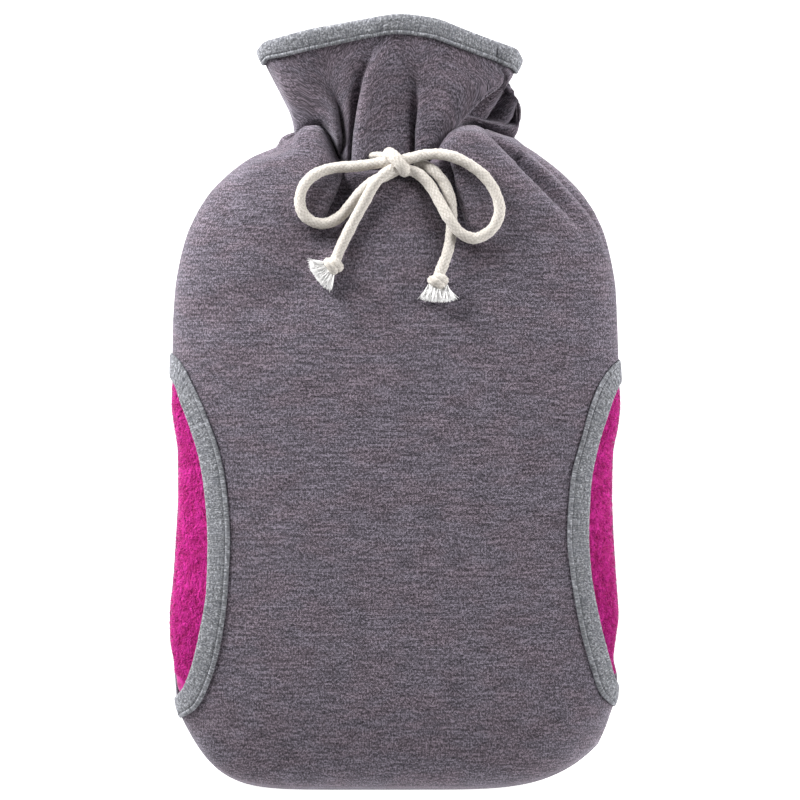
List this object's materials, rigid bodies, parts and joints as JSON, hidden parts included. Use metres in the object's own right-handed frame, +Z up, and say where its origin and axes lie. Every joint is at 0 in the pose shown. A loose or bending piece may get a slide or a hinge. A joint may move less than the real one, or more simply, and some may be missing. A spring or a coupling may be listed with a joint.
{
  "type": "hot water bottle cover",
  "caption": "Soft jersey cover for a hot water bottle: hourglass front with bound cut-away sides over pink plush, and a ruffled collar drawn in by a cord tied in a bow.",
  "frame": {"origin": "under the middle of the cover's own box, on the surface that the cover lies on, the drawcord's bow not counted", "axes": "+Y from the bottom seam to the collar's mouth, +Z up out of the front face, +X to the right seen from above with the collar away from the viewer"},
  "size_m": [0.2214, 0.38, 0.058],
  "materials": {
    "jersey": "grey mauve heather sweat jersey, matt, softly brushed",
    "jersey_back": "grey mauve heather sweat jersey, matt",
    "plush": "hot pink short pile plush",
    "rib_binding": "light grey heather rib tape, matt",
    "cotton_cord": "natural braided cotton, matt",
    "frayed_cotton": "loose white cotton strands"
  },
  "bodies": {
    "root": {"front_panel": "jersey", "back_panel": "jersey_back", "plush_panel": "plush", "side_binding_left": "rib_binding", "side_binding_right": "rib_binding", "collar_binding": "rib_binding", "bow_knot": "cotton_cord", "cord_loop_left": "cotton_cord", "cord_loop_right": "cotton_cord", "cord_tail_left": "cotton_cord", "cord_tail_right": "cotton_cord", "end_knot_left": "cotton_cord", "end_knot_right": "cotton_cord", "frayed_end_left": "frayed_cotton", "frayed_end_right": "frayed_cotton"}
  },
  "joints": []
}
